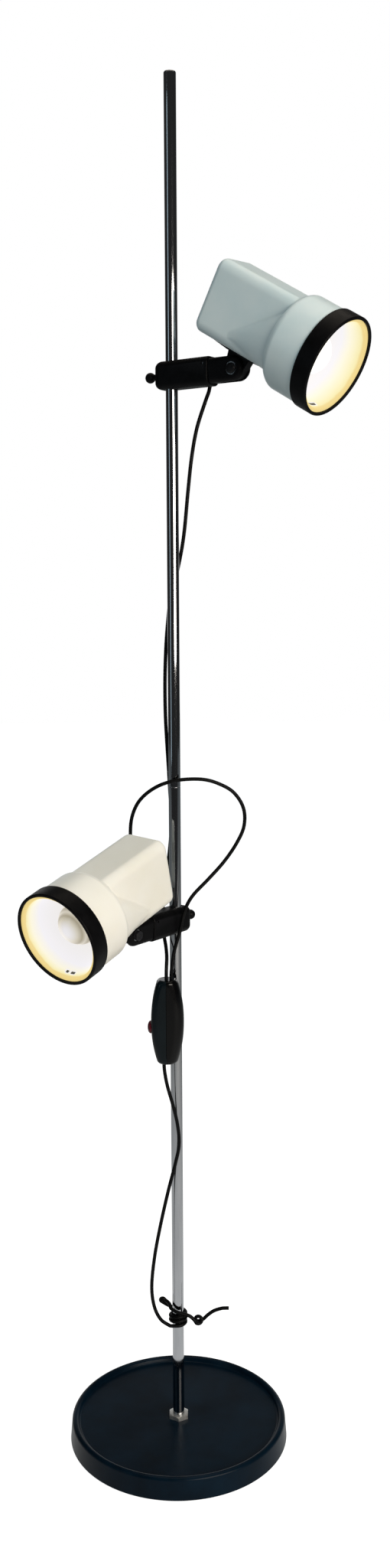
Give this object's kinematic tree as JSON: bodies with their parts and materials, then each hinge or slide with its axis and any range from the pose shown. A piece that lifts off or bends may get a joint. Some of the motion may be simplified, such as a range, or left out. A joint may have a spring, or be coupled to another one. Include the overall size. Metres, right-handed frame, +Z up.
{
  "type": "two-light floor lamp",
  "caption": "Floor lamp with a heavy round base, a chromed pole and spot heads on arms that slide, turn, swivel and tilt.",
  "frame": {"origin": "centre of the base's underside, on the pole's axis, at floor level", "axes": "+Z up along the pole; +X to the right and +Y away from the viewer as the picture shows the lamp"},
  "size_m": [0.3538, 0.3164, 1.4895],
  "materials": {
    "black_enamel": "satin black stove enamel on sheet steel",
    "cast_iron": "rough cast",
    "felt": "matt black pad",
    "chrome": "polished chrome plate",
    "steel": "zinc-plated",
    "brass": "turned",
    "black_plastic": "moulded, semi-gloss",
    "liner_plastic": "moulded",
    "white_housing": "moulded white, slightly yellowed",
    "white_reflector": "spun sheet, white enamelled",
    "socket_ceramic": "moulded",
    "bulb_glass": "opal glass",
    "switch_plastic": "moulded, semi-gloss",
    "switch_key_red": "moulded dark red",
    "contact_block": "moulded",
    "cord_jacket": "round black flexible cord"
  },
  "bodies": {
    "stand": {"base_cover": "black_enamel", "base_weight": "cast_iron", "base_pad": "felt", "foot_nut": "chrome", "foot_stud": "steel", "foot_washer": "steel", "foot_lock_nut": "steel", "pole_lower": "chrome", "pole_coupler": "steel", "pole_upper": "chrome", "pole_plug": "chrome", "switch_left_half": "switch_plastic", "switch_right_half": "switch_plastic", "switch_contacts": "contact_block", "switch_screws": "steel", "upper_lead": "cord_jacket", "lower_lead": "cord_jacket", "mains_lead": "cord_jacket", "mains_knot": "cord_jacket"},
    "upper_slider": {"upper_liner": "liner_plastic"},
    "upper_clamp": {"upper_clamp_body": "black_plastic", "upper_clamp_insert": "brass", "upper_arm_pin": "steel", "upper_cord_gland": "black_plastic"},
    "upper_knob": {"upper_clamp_knob": "black_plastic", "upper_clamp_screw": "steel"},
    "upper_arm": {"upper_arm": "black_plastic", "upper_tilt_bolt": "steel", "upper_tilt_washers": "steel", "upper_tilt_nut": "steel"},
    "upper_head": {"upper_bracket": "black_plastic", "upper_bracket_screws": "steel", "upper_housing": "white_housing", "upper_reflector": "white_reflector", "upper_front_ring": "black_plastic", "upper_holder_plate": "steel", "upper_lamp_holder": "socket_ceramic", "upper_bulb": "bulb_glass"},
    "lower_slider": {"lower_liner": "liner_plastic"},
    "lower_clamp": {"lower_clamp_body": "black_plastic", "lower_clamp_insert": "brass", "lower_arm_pin": "steel", "lower_cord_gland": "black_plastic"},
    "lower_knob": {"lower_clamp_knob": "black_plastic", "lower_clamp_screw": "steel"},
    "lower_arm": {"lower_arm": "black_plastic", "lower_tilt_bolt": "steel", "lower_tilt_washers": "steel", "lower_tilt_nut": "steel"},
    "lower_head": {"lower_bracket": "black_plastic", "lower_bracket_screws": "steel", "lower_housing": "white_housing", "lower_reflector": "white_reflector", "lower_front_ring": "black_plastic", "lower_holder_plate": "steel", "lower_lamp_holder": "socket_ceramic", "lower_bulb": "bulb_glass"},
    "switch_key": {"switch_button": "switch_key_red"}
  },
  "joints": [
    {"name": "upper_lamp_slide", "type": "slide", "parent": "stand", "child": "upper_slider", "axis": [0, 0, 1], "range_m": [-0.28, 0.02], "deforming": ["upper_lead"]},
    {"name": "upper_lamp_turn", "type": "hinge", "parent": "upper_slider", "child": "upper_clamp", "pos_m": [0, 0, 1.19], "axis": [0, 0, 1], "range_deg": [-150, 150], "deforming": ["upper_lead"]},
    {"name": "upper_clamp_knob_turn", "type": "hinge", "parent": "upper_clamp", "child": "upper_knob", "pos_m": [0, 0, 1.19], "axis": [0.8241, -0.5664, 0], "range_deg": [0, 270]},
    {"name": "upper_arm_swivel", "type": "hinge", "parent": "upper_clamp", "child": "upper_arm", "pos_m": [0, 0, 1.19], "axis": [0.8241, -0.5664, 0], "range_deg": [-90, 86]},
    {"name": "upper_head_tilt", "type": "hinge", "parent": "upper_arm", "child": "upper_head", "pos_m": [0.06593, -0.04531, 1.19], "axis": [0.565, 0.8221, 0.0698], "range_deg": [-31, 49]},
    {"name": "lower_lamp_slide", "type": "slide", "parent": "stand", "child": "lower_slider", "axis": [0, 0, 1], "range_m": [-0.035, 0.12], "deforming": ["upper_lead", "lower_lead"]},
    {"name": "lower_lamp_turn", "type": "hinge", "parent": "lower_slider", "child": "lower_clamp", "pos_m": [0, 0, 0.61], "axis": [0, 0, 1], "range_deg": [-150, 150], "deforming": ["upper_lead", "lower_lead"]},
    {"name": "lower_clamp_knob_turn", "type": "hinge", "parent": "lower_clamp", "child": "lower_knob", "pos_m": [0, 0, 0.61], "axis": [-0.5948, -0.8039, 0], "range_deg": [0, 270]},
    {"name": "lower_arm_swivel", "type": "hinge", "parent": "lower_clamp", "child": "lower_arm", "pos_m": [0, 0, 0.61], "axis": [-0.5948, -0.8039, 0], "range_deg": [-86, 90]},
    {"name": "lower_head_tilt", "type": "hinge", "parent": "lower_arm", "child": "lower_head", "pos_m": [-0.04759, -0.06431, 0.61], "axis": [0.8019, -0.5934, -0.0698], "range_deg": [-18, 62]},
    {"name": "switch_push", "type": "slide", "parent": "stand", "child": "switch_key", "axis": [1, 0, 0], "range_m": [0, 0.0025], "stiffness_N_per_m": 600, "springref_m": -0.001}
  ]
}
